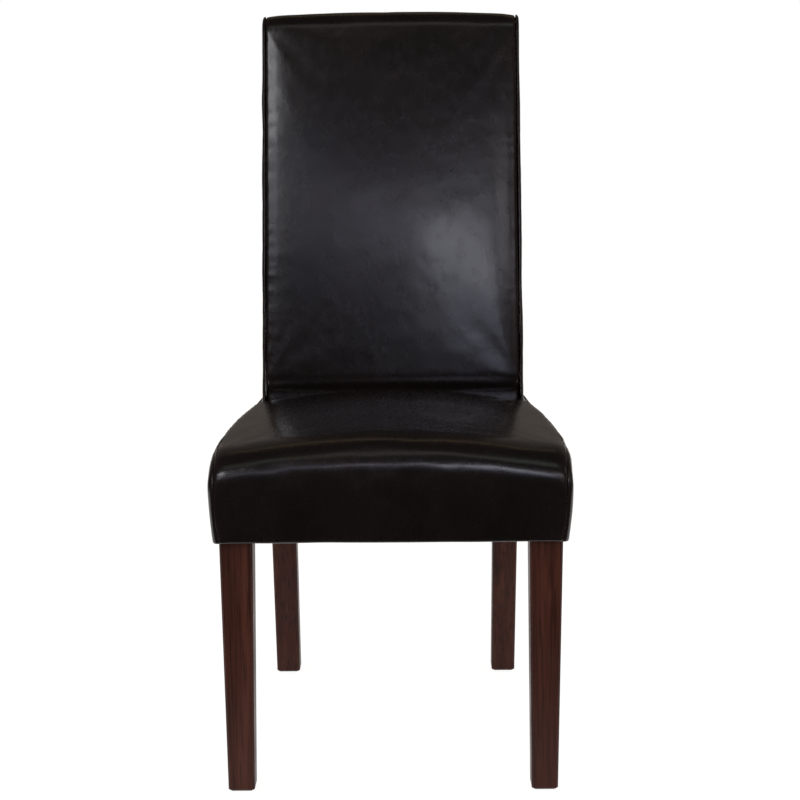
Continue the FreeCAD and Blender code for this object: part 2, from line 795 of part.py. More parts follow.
# Leather of the seat: one shell, turned in under the rails, then cut along its seams
hem_opening = seat_plan(
    size("apron_draw_in") + size("hem_width"), below, rail_bottom + PAST,
    size("hem_width"), seat_rear - size("hem_width"))
hem_top = size("apron_bottom") + skin
hem_passages = leg_passages(size("soft_gap"), hem_top + PAST, hem_top + PAST)
seat_shell = seat_outer.cut([seat_inner, back_outer, hem_opening, hem_passages])
rear_seam = seat_rear - size("seat_seam_inset")
seam_low = size("shoulder_level") - size("seam_below_shoulder")
corner_seam = seat_half_at(0) - size("seat_seam_inset")
front_region = seat_plan(size("seat_seam_inset"), seam_low, above, -BEYOND, rear_seam).fuse([
    block(-corner_seam, corner_seam, -BEYOND, size("leg_setback") / 2, hem_top, above),
    upright(mitred(seat_half_at(0), 0, 1), below, hem_top)])
rear_region = seat_plan(
    size("seat_seam_inset"), hem_top, above, rear_seam, seat_rear + BEYOND).fuse(
    upright(mitred(seat_half_at(seat_rear), seat_rear, -1), below, hem_top))
new_feature("seat_top_front_cover", seat_shell.common(front_region))
seat_rear_leather = seat_shell.common(rear_region)
left, right = by_side(seat_shell.cut([front_region, rear_region]))
new_feature("seat_left_side_cover", left)
new_feature("seat_right_side_cover", right)

# Leather of the back: front panel over the top, a boxing down each side, an outside panel
back_shell = back_outer.cut([back_inner, seat_inner])
top_half = size("back_top_half_width") - size("back_seam_inset")
foot_half = size("back_half_width") - size("back_seam_inset")
taper = (foot_half - top_half) / (size("overall_height") - size("back_level"))
face_outline = [
    (-foot_half - taper * BEYOND, size("back_level") - BEYOND),
    (foot_half + taper * BEYOND, size("back_level") - BEYOND),
    (top_half - taper * BEYOND, above),
    (-top_half + taper * BEYOND, above),
]
between_seams = prism(
    [FreeCAD.Vector(x, 0, z) for x, z in face_outline],
    FreeCAD.Vector(0, overall_depth + BEYOND, 0))
outside_line = bent_line(back_rear - size("back_seam_inset"), above)
outside_region = across(
    outside_line + [(overall_depth + 2 * BEYOND, above), (overall_depth + 2 * BEYOND, below)],
    2 * size("back_half_width"))
back_panels = back_shell.common(between_seams)
new_feature("back_front_cover", back_panels.cut(outside_region))
new_feature("outside_back_cover", back_panels.common(outside_region).fuse(seat_rear_leather))
left, right = by_side(back_shell.cut(between_seams))
new_feature("back_left_boxing", left)
new_feature("back_right_boxing", right)

# Foam of the seat: a crowned cushion on the webbing and thinner pads round the rails
seat_space = seat_soft.cut(back_outer)
wide = 2 * size("seat_half_width")
behind_frame = block(-wide, wide, frame_rear, overall_depth, below, above)
over_rails = block(-wide, wide, -BEYOND, frame_rear, foam_bottom, above)
frame_plan = []
for side in (-1, 1):
    corners = [
        (side * size("leg_outer_half_span"), size("leg_setback")),
        (side * size("leg_outer_half_span"), size("leg_setback") + size("leg_side")),
        (side * size("post_outer_half_span"), size("post_front")),
        (side * size("post_outer_half_span"), overall_depth),
    ]
    frame_plan += corners if side < 0 else corners[::-1]
new_feature("seat_foam", seat_space.common(over_rails).cut(
    leg_passages(0, rail_top, size("back_level"))))
new_feature("seat_rear_padding", seat_space.common(behind_frame))
rail_pads = seat_space.cut(
    [upright(frame_plan, below, foam_bottom + PAST), over_rails, behind_frame])
front_strip = block(-wide, wide, -BEYOND, size("leg_setback"), below, above)
new_feature("seat_front_padding", rail_pads.common(front_strip))
left, right = by_side(rail_pads.cut(front_strip))
new_feature("seat_left_padding", left)
new_feature("seat_right_padding", right)

# Foam of the back: a swelled front pad, thin pads behind, down the sides and over the top
back_space = back_soft.cut(
    block(-wide, wide, 0, 2 * overall_depth, below, size("back_level") - size("back_tuck")))
hollow_front = size("post_front") - size("strap_thickness") - size("strap_gap")
front_line = bent_line(hollow_front, above)
front_region = across(front_line + [(0, above), (0, below)], wide)
rear_line = bent_line(frame_rear, above)
far = 2 * overall_depth
rear_region = across(rear_line + [(far, above), (far, below)], wide)
new_feature("back_front_foam", back_space.common(front_region))
new_feature("back_rear_padding", back_space.common(rear_region))
post_top_line = bent_line(hollow_front, size("post_top"))
frame_side = post_top_line + bent_line(frame_rear, size("post_top"))[::-1]
edge_pads = back_space.cut([
    front_region, rear_region, across(frame_side, size("post_outer_half_span"))])
between_posts = block(
    -size("post_outer_half_span"), size("post_outer_half_span"), 0, far, below, above)
new_feature("back_top_padding", edge_pads.common(between_posts))
left, right = by_side(edge_pads.cut(between_posts))
new_feature("back_left_padding", left)
new_feature("back_right_padding", right)


def screw(seat, direction):
    """A pan-head wood screw with its head's underside at a seat, driven along a direction."""
    shank = Part.makeCylinder(size("screw_radius"), size("screw_length"), seat, direction)
    head = Part.makeCylinder(
        size("screw_head_radius"), size("screw_head_height"),
        seat - direction * size("screw_head_height"), direction)
    return shank.fuse(head)


def side_rail_inner(y):
    """The inner face of a side rail at some depth, as a half width."""
    slope = (size("leg_outer_half_span") - size("post_outer_half_span")) / (
        size("post_front") - size("leg_setback") - size("leg_side"))
    run = y - size("leg_setback") - size("leg_side")
    return size("leg_outer_half_span") - size("rail_thickness") - slope * run


def corner_screws():
    """Two screws in each corner block, one through each wing into its rail."""
    screws = []
    level = rail_bottom + size("block_rise") + size("block_height") / 2
    from_leg = size("block_arm") - size("screw_from_end")
    ends = [
        (size("leg_outer_half_span") - size("leg_side"),
         size("leg_setback") + size("leg_side"),
         size("leg_setback") + size("rail_thickness"), 1),
        (size("post_outer_half_span") - size("post_width"),
         size("post_front"),
         size("post_front") + size("post_depth") - size("rail_thickness"), -1),
    ]
    for leg_inner, leg_back, face, inward in ends:
        wing_end = leg_back + inward * size("block_arm")
        wing_x = side_rail_inner(wing_end) - size("block_wing")
        for side in (-1, 1):
            screws.append(screw(
                FreeCAD.Vector(side * (leg_inner - from_leg),
                               face + inward * size("block_wing"), level),
                FreeCAD.Vector(0, -inward, 0)))
            screws.append(screw(
                FreeCAD.Vector(side * wing_x, leg_back + inward * from_leg, level),
                FreeCAD.Vector(side, 0, 0)))
    return Part.makeCompound(screws)


def feet():
    """The middle of each foot's end, front pair first."""
    front_x = size("leg_foot_outer_half_span") - size("leg_foot_side") / 2
    front_y = size("leg_foot_setback") + size("leg_foot_side") / 2
    rear_x = size("post_foot_outer_half_span") - size("post_foot_side") / 2
    rear_y = size("post_foot_front") + size("post_foot_side") / 2
    return [
        FreeCAD.Vector(side * x, y, 0)
        for x, y in ((front_x, front_y), (rear_x, rear_y)) for side in (-1, 1)
    ]


# Nylon glides under the feet, each on a steel nail, and the screws of the corner blocks
UP = FreeCAD.Vector(0, 0, 1)
glides = []
nails = []
for foot in feet():
    glide = Part.makeCylinder(size("glide_radius"), size("glide_thickness"), foot, UP)
    nail_start = foot + UP * (size("glide_thickness") - size("nail_sunk"))
    nail_reach = size("nail_length") + size("nail_sunk") - size("end_room")
    nail = Part.makeCylinder(size("nail_radius"), nail_reach, nail_start, UP)
    glides.append(glide.cut(nail))
    nails.append(nail)
new_feature("foot_glides", Part.makeCompound(glides))
new_feature("glide_nails", Part.makeCompound(nails))
new_feature("corner_block_screws", corner_screws())


def woven_strap(stations, high_first, start, end, flat):
    """A strap's side view: flat on the rails, over one crossing strap and under the next."""
    lower = [(start, 0.0)]
    lift = size("strap_thickness") + size("strap_gap")
    for i, station in enumerate(stations):
        rise = lift if (i + high_first) % 2 else 0.0
        lower += [(station - flat, rise), (station + flat, rise)]
    lower.append((end, 0.0))
    upper = [(run, rise + size("strap_thickness")) for run, rise in lower]
    return lower + upper[::-1]


def spread(count, low, high):
    """The middles of a number of straps spaced evenly across an opening."""
    pitch = (high - low) / count
    return [low + pitch * (i + 0.5) for i in range(count)]


# Webbing: woven across the seat on top of the rails, and level across the back's posts
STRAPS_LENGTHWISE = 5
STRAPS_CROSSWISE = 5
BACK_STRAPS = 3
strap_half = size("strap_width") / 2
flat = strap_half + size("strap_gap")
rear_rail_face = size("post_front") + size("post_depth") - size("rail_thickness")
post_inner = size("post_outer_half_span") - size("post_width")
columns = spread(STRAPS_LENGTHWISE, -post_inner, post_inner)
rows = spread(STRAPS_CROSSWISE, size("leg_setback") + size("rail_thickness"), rear_rail_face)
lengthwise = []
for i, x in enumerate(columns):
    side_view = woven_strap(
        rows, i, size("leg_setback") + size("strap_inset"), frame_rear - size("strap_inset"), flat)
    corners = [FreeCAD.Vector(x - strap_half, y, rail_top + rise) for y, rise in side_view]
    lengthwise.append(prism(corners, FreeCAD.Vector(size("strap_width"), 0, 0)))
new_feature("seat_webbing_lengthwise", Part.makeCompound(lengthwise))
crosswise = []
for i, y in enumerate(rows):
    reach = side_rail_inner(y + strap_half) + size("rail_thickness") - size("strap_inset")
    side_view = woven_strap(columns, i + 1, -reach, reach, flat)
    corners = [FreeCAD.Vector(x, y - strap_half, rail_top + rise) for x, rise in side_view]
    crosswise.append(prism(corners, FreeCAD.Vector(0, size("strap_width"), 0)))
new_feature("seat_webbing_crosswise", Part.makeCompound(crosswise))

lean_turn = FreeCAD.Rotation(FreeCAD.Vector(1, 0, 0), -size("back_lean"))
back_straps = []
gap_low = size("lower_rail_rise") + size("lower_rail_height")
gap_high = (size("post_top") - size("back_level")) / lean_cos - size("top_rail_height")
reach = size("post_outer_half_span") - size("strap_inset")
for middle in spread(BACK_STRAPS, gap_low, gap_high):
    up = middle - strap_half
    strap = block(-reach, reach, -size("strap_thickness"), 0, up, up + size("strap_width"))
    strap.Placement = FreeCAD.Placement(
        FreeCAD.Vector(0, size("post_front"), size("back_level")), lean_turn)
    back_straps.append(strap)
new_feature("back_webbing", Part.makeCompound(back_straps))

# Dust cover under the seat, with room round the legs
cambric_plan = seat_plan(
    size("apron_draw_in") + size("cambric_inset"),
    size("apron_bottom") - size("cambric"), size("apron_bottom"),
    size("cambric_inset"), seat_rear - size("cambric_inset"))
new_feature("dust_cover", cambric_plan.cut(leg_passages(
    size("cambric_room"), size("apron_bottom") + PAST, size("apron_bottom") + PAST)))

# Every sub-part must be sound before it is written
doc.recompute()
faults = [
    obj.Name for obj in doc.Objects if "Invalid" in obj.State or "Error" in obj.State
]
for part in SUBPARTS:
    if part.Shape.isNull() or not part.Shape.isValid() or not part.Shape.Solids:
        faults.append(part.Label)
if faults:
    raise RuntimeError("faulty: " + ", ".join(faults))

os.makedirs("parts", exist_ok=True)
for part in SUBPARTS:
    part.Shape.exportStep("parts/%s.step" % part.Label)
print("%d sub-parts, overall depth %.1f mm" % (len(SUBPARTS), overall_depth))
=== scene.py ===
import math

import bpy
import numpy as np
from mathutils import Matrix, Vector


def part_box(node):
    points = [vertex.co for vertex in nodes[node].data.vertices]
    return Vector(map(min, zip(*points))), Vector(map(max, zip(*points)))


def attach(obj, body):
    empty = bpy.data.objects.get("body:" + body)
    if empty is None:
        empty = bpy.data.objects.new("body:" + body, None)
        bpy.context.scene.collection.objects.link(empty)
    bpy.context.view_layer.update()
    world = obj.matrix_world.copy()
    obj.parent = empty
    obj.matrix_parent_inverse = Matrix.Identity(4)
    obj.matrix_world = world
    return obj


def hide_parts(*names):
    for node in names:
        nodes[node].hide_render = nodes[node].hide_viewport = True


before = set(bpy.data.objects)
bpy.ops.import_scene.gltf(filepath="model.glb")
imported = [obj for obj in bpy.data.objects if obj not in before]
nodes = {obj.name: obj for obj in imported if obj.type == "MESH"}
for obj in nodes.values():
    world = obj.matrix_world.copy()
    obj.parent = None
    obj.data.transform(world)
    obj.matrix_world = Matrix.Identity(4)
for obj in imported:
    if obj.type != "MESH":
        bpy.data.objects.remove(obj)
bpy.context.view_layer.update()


# Legs: four square tapered legs of stained hardwood under a satin lacquer. The rear pair
# runs on up inside the back as its posts. Their CAD solids have the right shape and stay.
LEG_NODES = ["front_left_leg", "front_right_leg", "rear_left_leg", "rear_right_leg"]


class Shader:
    """A material's node tree, built from left to right."""

    def __init__(self, name):
        self.material = bpy.data.materials.new(name)
        self.material.use_nodes = True
        self.tree = self.material.node_tree
        self.surface = self.tree.nodes["Principled BSDF"]
        self.place = self.add("ShaderNodeTexCoord").outputs["Object"]

    def add(self, kind, inputs=None, **settings):
        node = self.tree.nodes.new(kind)
        for key, value in settings.items():
            setattr(node, key, value)
        for key, value in (inputs or {}).items():
            self.join(node.inputs[key], value)
        return node

    def join(self, socket, value):
        if isinstance(value, bpy.types.NodeSocket):
            self.tree.links.new(value, socket)
        else:
            socket.default_value = value

    def stretched(self, scale):
        """Object coordinates, in metres, multiplied along each axis."""
        return self.add("ShaderNodeMapping", {"Vector": self.place, "Scale": scale}).outputs[0]

    def noise(self, vector, scale, detail=3.0, roughness=0.5, distortion=0.0):
        node = self.add("ShaderNodeTexNoise", {
            "Vector": vector, "Scale": scale, "Detail": detail, "Roughness": roughness,
            "Distortion": distortion})
        return node.outputs["Fac"]

    def cells(self, vector, scale, feature="F1", jitter=1.0):
        node = self.add("ShaderNodeTexVoronoi", {
            "Vector": vector, "Scale": scale, "Randomness": jitter}, feature=feature)
        return node.outputs["Distance"]

    def ramp(self, value, stops):
        """A colour for each value, through a list of places and colours."""
        node = self.add("ShaderNodeValToRGB", {"Fac": value})
        ramp = node.color_ramp
        while len(ramp.elements) < len(stops):
            ramp.elements.new(0.5)
        for element, (place, color) in zip(ramp.elements, stops):
            element.position = place
            element.color = (*color, 1.0)
        return node.outputs["Color"]

    def spread(self, value, low, high, into_low, into_high):
        """A value's range stretched onto another."""
        node = self.add("ShaderNodeMapRange", {
            "Value": value, "From Min": low, "From Max": high, "To Min": into_low,
            "To Max": into_high})
        return node.outputs["Result"]

    def math(self, operation, first, second):
        node = self.add("ShaderNodeMath", operation=operation)
        self.join(node.inputs[0], first)
        self.join(node.inputs[1], second)
        return node.outputs[0]

    def blend(self, fac, first, second, blend_type="MIX"):
        node = self.add("ShaderNodeMix", data_type="RGBA", blend_type=blend_type)
        self.join(node.inputs["Factor"], fac)
        self.join(node.inputs["A"], first)
        self.join(node.inputs["B"], second)
        return node.outputs["Result"]

    def bump(self, height, distance, strength=1.0, under=None):
        inputs = {"Height": height, "Distance": distance, "Strength": strength}
        if under is not None:
            inputs["Normal"] = under
        return self.add("ShaderNodeBump", inputs).outputs["Normal"]

    def finish(self, **sockets):
        for name, value in sockets.items():
            self.join(self.surface.inputs[name.replace("_", " ")], value)
        return self.material


def dress(names, material):
    """CAD nodes whose shape is right, given a better material."""
    for name in names:
        data = nodes[name].data
        data.materials.clear()
        data.materials.append(material)


def stained_wood():
    shade = Shader("stained_wood")
    along = shade.stretched((60.0, 60.0, 3.2))
    figure = shade.noise(along, 1.0, 5.0, 0.62, 0.6)
    fine = shade.noise(shade.stretched((420.0, 420.0, 9.0)), 1.0, 3.0, 0.6)
    tone = shade.ramp(figure, [
        (0.30, (0.029, 0.0080, 0.0052)), (0.55, (0.052, 0.0150, 0.0098)),
        (0.75, (0.078, 0.0265, 0.0175))])
    pores = shade.ramp(fine, [(0.36, (0.30, 0.28, 0.28)), (0.50, (1.0, 1.0, 1.0))])
    colour = shade.blend(0.7, tone, pores, "MULTIPLY")
    worn = shade.noise(shade.place, 14.0, 3.0)
    bump = shade.bump(fine, 0.00012, 0.5)
    return shade.finish(
        Base_Color=colour, Roughness=shade.spread(worn, 0.3, 0.7, 0.38, 0.52),
        Normal=bump, Specular_IOR_Level=0.16, Coat_Weight=0.04, Coat_Roughness=0.25)


dress(LEG_NODES, stained_wood())


# Floor glides and metal: four moulded nylon discs, each held under a foot by a nail, and the
# corner block screws. Nails and screws are zinc plated. Their CAD solids stay.
def nylon():
    shade = Shader("brown_nylon")
    speck = shade.noise(shade.place, 900.0, 3.0, 0.6)
    scuff = shade.noise(shade.stretched((300.0, 40.0, 40.0)), 1.0, 4.0, 0.7)
    colour = shade.ramp(scuff, [(0.35, (0.030, 0.020, 0.016)), (0.7, (0.075, 0.058, 0.048))])
    return shade.finish(
        Base_Color=colour, Roughness=shade.spread(scuff, 0.3, 0.7, 0.42, 0.66),
        Normal=shade.bump(speck, 0.0001, 0.6))


def zinc():
    shade = Shader("zinc_plated_steel")
    cloud = shade.noise(shade.place, 260.0, 4.0, 0.6)
    colour = shade.ramp(cloud, [(0.3, (0.46, 0.44, 0.39)), (0.7, (0.66, 0.65, 0.60))])
    return shade.finish(
        Base_Color=colour, Metallic=1.0, Roughness=shade.spread(cloud, 0.3, 0.7, 0.24, 0.44),
        Normal=shade.bump(cloud, 0.00005, 0.5))


dress(["foot_glides"], nylon())
dress(["glide_nails", "corner_block_screws"], zinc())


# Frame inside the covers: rails, corner blocks and cross rails of planed hardwood, joined by
# glued tenons and screws, with no finish on them.
def bare_wood():
    shade = Shader("bare_hardwood")
    figure = shade.noise(shade.stretched((9.0, 9.0, 90.0)), 1.0, 5.0, 0.6, 0.5)
    fleck = shade.noise(shade.stretched((40.0, 40.0, 600.0)), 1.0, 2.0)
    tone = shade.ramp(figure, [(0.32, (0.36, 0.21, 0.11)), (0.7, (0.56, 0.38, 0.22))])
    flecks = shade.ramp(fleck, [(0.36, (0.66, 0.58, 0.50)), (0.52, (1.0, 1.0, 1.0))])
    return shade.finish(
        Base_Color=shade.blend(0.6, tone, flecks, "MULTIPLY"),
        Roughness=shade.spread(figure, 0.3, 0.7, 0.62, 0.8),
        Normal=shade.bump(figure, 0.0003, 0.5))


dress([
    "front_seat_rail", "rear_seat_rail", "left_seat_rail", "right_seat_rail",
    "front_left_corner_block", "front_right_corner_block",
    "rear_left_corner_block", "rear_right_corner_block",
    "back_top_rail", "back_middle_rail", "back_lower_rail"], bare_wood())


# Webbing: woven straps over and under each other across the seat, and across the posts of the
# back, all stapled to the frame. Their CAD solids stay and the weave is in the material.
def woven():
    shade = Shader("woven_webbing")
    weft = shade.add("ShaderNodeTexWave", {"Vector": shade.place, "Scale": 130.0},
                     bands_direction="X").outputs["Fac"]
    warp = shade.add("ShaderNodeTexWave", {"Vector": shade.place, "Scale": 130.0},
                     bands_direction="Y").outputs["Fac"]
    weave = shade.math("MULTIPLY", weft, warp)
    colour = shade.ramp(weave, [(0.0, (0.12, 0.075, 0.04)), (0.6, (0.36, 0.26, 0.15))])
    return shade.finish(
        Base_Color=colour, Roughness=shade.spread(weave, 0.0, 1.0, 0.9, 0.75),
        Normal=shade.bump(weave, 0.0005, 0.8))


dress(["seat_webbing_lengthwise", "seat_webbing_crosswise", "back_webbing"], woven())


# Dust cover: thin black spunbond cloth stapled under the seat rails. Its CAD solid stays, with
# the tangle of fibres and the bonded pits in the material.
def spunbond():
    shade = Shader("black_spunbond")
    fibre = shade.noise(shade.place, 700.0, 5.0, 0.7, 1.5)
    pits = shade.cells(shade.place, 480.0, jitter=0.25)
    colour = shade.ramp(fibre, [(0.35, (0.006, 0.006, 0.006)), (0.65, (0.030, 0.029, 0.028))])
    return shade.finish(
        Base_Color=colour, Roughness=shade.spread(fibre, 0.3, 0.7, 0.8, 0.95),
        Normal=shade.bump(pits, 0.0004, 0.6))


dress(["dust_cover"], spunbond())


# Leather of the whole chair: bonded leather, very dark brown, with a fine pebbled grain, soft
# shallow creases and a satin top coat that is a little more polished along the seams.
def bonded_leather():
    shade = Shader("bonded_leather")
    cloud = shade.noise(shade.place, 11.0, 4.0, 0.6)
    tone = shade.ramp(cloud, [
        (0.30, (0.0042, 0.0032, 0.0036)), (0.55, (0.0066, 0.0049, 0.0051)),
        (0.78, (0.0104, 0.0072, 0.0070))])
    pebble = shade.cells(shade.place, 760.0, "DISTANCE_TO_EDGE")
    pebble = shade.spread(pebble, 0.0, 0.16, 0.0, 1.0)
    valleys = shade.ramp(pebble, [(0.0, (0.62, 0.58, 0.58)), (0.7, (1.0, 1.0, 1.0))])
    colour = shade.blend(0.7, tone, valleys, "MULTIPLY")
    rub = shade.add("ShaderNodeAttribute", attribute_name="seam").outputs["Fac"]
    colour = shade.blend(shade.math("MULTIPLY", rub, 0.4), colour, (0.022, 0.014, 0.012, 1.0))
    soft = shade.noise(shade.place, 24.0, 3.0, 0.5)
    mottle = shade.noise(shade.stretched((1.0, 1.0, 0.6)), 85.0, 2.5, 0.5, 0.3)
    fine = shade.noise(shade.place, 1700.0, 2.0, 0.5)
    sheen = shade.spread(mottle, 0.30, 0.70, 0.235, 0.285)
    sheen = shade.math("SUBTRACT", sheen, shade.math("MULTIPLY", rub, 0.04))
    normal = shade.bump(soft, 0.0012, 0.5)
    normal = shade.bump(mottle, 0.00030, 0.6, normal)
    normal = shade.bump(pebble, 0.00002, 0.6, normal)
    normal = shade.bump(fine, 0.00002, 0.6, normal)
    return shade.finish(
        Base_Color=colour, Roughness=sheen, Normal=normal, Coat_Weight=0.35,
        Coat_Roughness=0.14, IOR=1.5)


leather = bonded_leather()


# Seat cover: one panel falls from the crowned top over the front edge to the hem under the
# front rail, and a panel down each side is sewn to it along the shoulder and front corner.
# Each panel is a grid of leather, settled as cloth between its seams; the seams are stitched.
SIDES = ((-1, "left"), (1, "right"))
SEAT_HALF = 0.2365           # where the seat is widest, WIDEST_AT behind its front
WIDEST_AT = 0.130
REAR_HALF = 0.2034
SEAT_REAR = 0.5110           # depths, from the front of the seat
SEAT_DEPTH = 0.432
TOP_SHORT = 0.006
BOTTOM = 0.3395              # heights, from the floor
LEVEL = 0.4315
SHOULDER = 0.026
REAR_SHOULDER = 0.008
CROWN = math.radians(9.0)
REAR_CROWN = math.radians(1)
DRAW_IN = 0.005              # each side, from its shoulder down to the bottom edge
ROLL_HEIGHT = 0.042
ROLL_DEPTH = 0.058
CORNER = 0.008
SEAT_SEAM = 0.0075
HEM = 0.024
HEM_FOLD = 0.0015
HEM_STEPS = 5
PLAIN_COLUMN = 12            # of the side panels, below their round shoulder
LEATHER = 0.0012
CRUSH = 0.006                # the top is pressed down where the back stands on it
CRUSH_REACH = 0.014
STITCH_INSIDE = 0.0030       # from the seam
SEAM_DIVE, DIVE_REACH = 0.0009, 0.0008
SEAM_SWELL, SWELL_AT, SWELL_REACH = 0.0004, 0.005, 0.004
POLISH_REACH = 0.006
PUCKER_FROM = 0.0022
HELD_WITHIN = 0.0012         # cloth: from the seam, then its spare length and caps
SPARE_AT, SPARE_REACH = 0.004, 0.012
SPARE_LENGTH = 0.035
OUTWARD_CAP = 0.0024
INWARD_CAP = 0.0016
CLOTH_FRAMES = 20
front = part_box("seat_top_front_cover")[0][1]


def seat_half(y):
    bow = (SEAT_HALF - REAR_HALF) / (SEAT_REAR - WIDEST_AT) ** 2
    return SEAT_HALF - bow * (y - WIDEST_AT) ** 2


def quarter(run, length):
    """How much of a quarter round is still to rise, a given run from where it starts."""
    share = max(0.0, 1 - run / length)
    return 1 - math.sqrt(1 - share * share)


def seat_shape(y):
    """The section at one depth: half width, widest level, shoulder radius, slope, seam turn."""
    under_back = max(0.0, (y - SEAT_DEPTH) / (SEAT_REAR - SEAT_DEPTH))
    radius = SHOULDER * (1 - under_back) + REAR_SHOULDER * under_back
    slope = CROWN * (1 - under_back) + REAR_CROWN * under_back
    pulled = CORNER * quarter(y, CORNER) + CORNER / 2 * quarter(SEAT_REAR - y, CORNER / 2)
    level = LEVEL + SHOULDER - radius - ROLL_HEIGHT * quarter(y, ROLL_DEPTH)
    left_over = min(max(0.0, SEAT_SEAM - pulled), radius * 0.5)
    return seat_half(y) - pulled, level, radius, slope, math.acos(1 - left_over / radius)


def seat_over(y, share):
    """A point of the top, from the middle (0) to the side seam (1), by length along it."""
    half, level, radius, slope, seam = seat_shape(y)
    shoulder_half = half - radius * (1 - math.sin(slope))
    shoulder_z = level + radius * math.cos(slope)
    bend = shoulder_half / math.sin(slope)
    crown_length = bend * slope
    round_length = radius * (math.pi / 2 - slope - seam)
    run = share * (crown_length + round_length)
    if run < crown_length:
        turn = run / bend
        top = shoulder_z - bend * math.cos(slope)
        return bend * math.sin(turn), top + bend * math.cos(turn)
    turn = math.pi / 2 - slope - (run - crown_length) / radius
    return half - radius * (1 - math.cos(turn)), level + radius * math.sin(turn)


def seat_side(y, share):
    """A point of the side, from the seam (0) to the bottom edge (1), by length down it."""
    half, level, radius, _, seam = seat_shape(y)
    round_length = radius * seam
    run = share * (round_length + level - BOTTOM)
    if run < round_length:
        turn = seam - run / radius
        return half - radius * (1 - math.cos(turn)), level + radius * math.sin(turn)
    fall = (run - round_length) / (level - BOTTOM)
    return half - DRAW_IN * fall ** 2, level - (run - round_length)


def steps(low, high, count):
    return [low + (high - low) * i / count for i in range(count + 1)]


def seam_spaced(count):
    """Places from 0 to 1 that crowd together near 1, where the seam is."""
    return [1 - (1 - i / count) ** 1.45 for i in range(count + 1)]


def both_sides(places):
    """Places from 0 outwards, on either side of the middle."""
    return [-place for place in places[:0:-1]] + places


def lengths_along(points, axis):
    """The distance gone to each point of a grid or a line, along one of its axes."""
    legs = np.linalg.norm(np.diff(points, axis=axis), axis=-1)
    start = np.zeros_like(np.take(legs, [0], axis=axis))
    return np.concatenate([start, np.cumsum(legs, axis=axis)], axis=axis)


def nearer_end(lengths):
    """The distance to the nearer of the two ends of each row."""
    return np.minimum(lengths, lengths[:, -1:] - lengths)


def ripples(seed, periods):
    """Uneven waves along a length, as a function; the same on each run."""
    random = np.random.default_rng(seed)
    waves = [
        (2 * math.pi / (period * random.uniform(0.8, 1.25)), random.uniform(0, 2 * math.pi))
        for period in periods for _ in range(3)
    ]
    return lambda place: sum(math.sin(rate * place + phase) for rate, phase in waves) / len(waves)


def normals_of(points, outward):
    """The direction that each point of a panel faces, on the side that is outward."""
    normal = np.cross(np.gradient(points, axis=1), np.gradient(points, axis=0))
    normal /= np.maximum(np.linalg.norm(normal, axis=2, keepdims=True), 1e-12)
    middle = normal[points.shape[0] // 2, points.shape[1] // 2]
    return normal if middle @ np.array(outward) > 0 else -normal


def unevenness(points, size, seed):
    """Smooth random swelling over a panel, about from -1 to 1, the same on each run."""
    random = np.random.default_rng(seed)
    total = np.zeros(points.shape[:2])
    for _ in range(14):
        direction = random.normal(size=3)
        direction *= 2 * math.pi / (size * random.uniform(0.6, 1.5)) / np.linalg.norm(direction)
        total += np.sin(points @ direction + random.uniform(0, 2 * math.pi))
    return total / 5


def seam_profile(away):
    """How far a panel dives into its seam and how polished it is, by distance from the seam."""
    dive = -SEAM_DIVE * np.exp(-away / DIVE_REACH)
    swell = SEAM_SWELL * np.exp(-((away - SWELL_AT) / SWELL_REACH) ** 2)
    return dive + swell, np.exp(-away / POLISH_REACH)


def pucker(shift, away, along, wave, height, reach):
    """Adds the small gathers that a seam's stitches pull into the leather beside it."""
    for row, place in enumerate(along):
        near = np.exp(-away[row] / reach) * (1 - np.exp(-away[row] / PUCKER_FROM))
        shift[row] += height * wave(place) * near


def settle(piece, away):
    """The leather held along its seams, where it has length to spare, and filled from below.

    Only the movement along each point's normal is kept, scaled to the caps on either side.
    """
    mesh = piece.data
    start = np.zeros(len(mesh.vertices) * 3)
    mesh.vertices.foreach_get("co", start)
    facing = np.zeros(len(mesh.vertices) * 3)
    mesh.vertices.foreach_get("normal", facing)
    held = piece.vertex_groups.new(name="held")
    spare = piece.vertex_groups.new(name="spare")
    for index, depth in enumerate(away.reshape(-1)):
        held.add([index], 1.0 if depth < HELD_WITHIN else 0.0, "REPLACE")
        spare.add([index], math.exp(-((depth - SPARE_AT) / SPARE_REACH) ** 2), "REPLACE")
    cloth = piece.modifiers.new("cloth", "CLOTH")
    cloth.settings.quality = 5
    cloth.settings.mass = 0.12
    cloth.settings.tension_stiffness = cloth.settings.compression_stiffness = 60.0
    cloth.settings.shear_stiffness = 25.0
    cloth.settings.bending_stiffness = 0.4
    cloth.settings.vertex_group_mass = "held"
    cloth.settings.vertex_group_shrink = "spare"
    cloth.settings.shrink_min = 0.0
    cloth.settings.shrink_max = -SPARE_LENGTH
    cloth.settings.use_pressure = True
    cloth.settings.uniform_pressure_force = 0.4
    cloth.settings.effector_weights.gravity = 0.0
    cloth.collision_settings.use_collision = False
    cloth.point_cache.frame_end = CLOTH_FRAMES
    for frame_number in range(1, CLOTH_FRAMES + 1):
        bpy.context.scene.frame_set(frame_number)
    bpy.ops.object.modifier_apply(modifier="cloth")
    bpy.context.scene.frame_set(1)
    piece.vertex_groups.clear()
    end = np.zeros_like(start)
    mesh.vertices.foreach_get("co", end)
    moved = (end - start).reshape(-1, 3)
    facing = facing.reshape(-1, 3)
    out = (moved * facing).sum(axis=1)
    most = max(np.percentile(np.abs(out), 98.0), 0.0005)
    share = out / most
    out = np.where(share > 0, OUTWARD_CAP, INWARD_CAP) * np.tanh(share)
    mesh.vertices.foreach_set("co", (start.reshape(-1, 3) + facing * out[:, None]).reshape(-1))
    mesh.update()


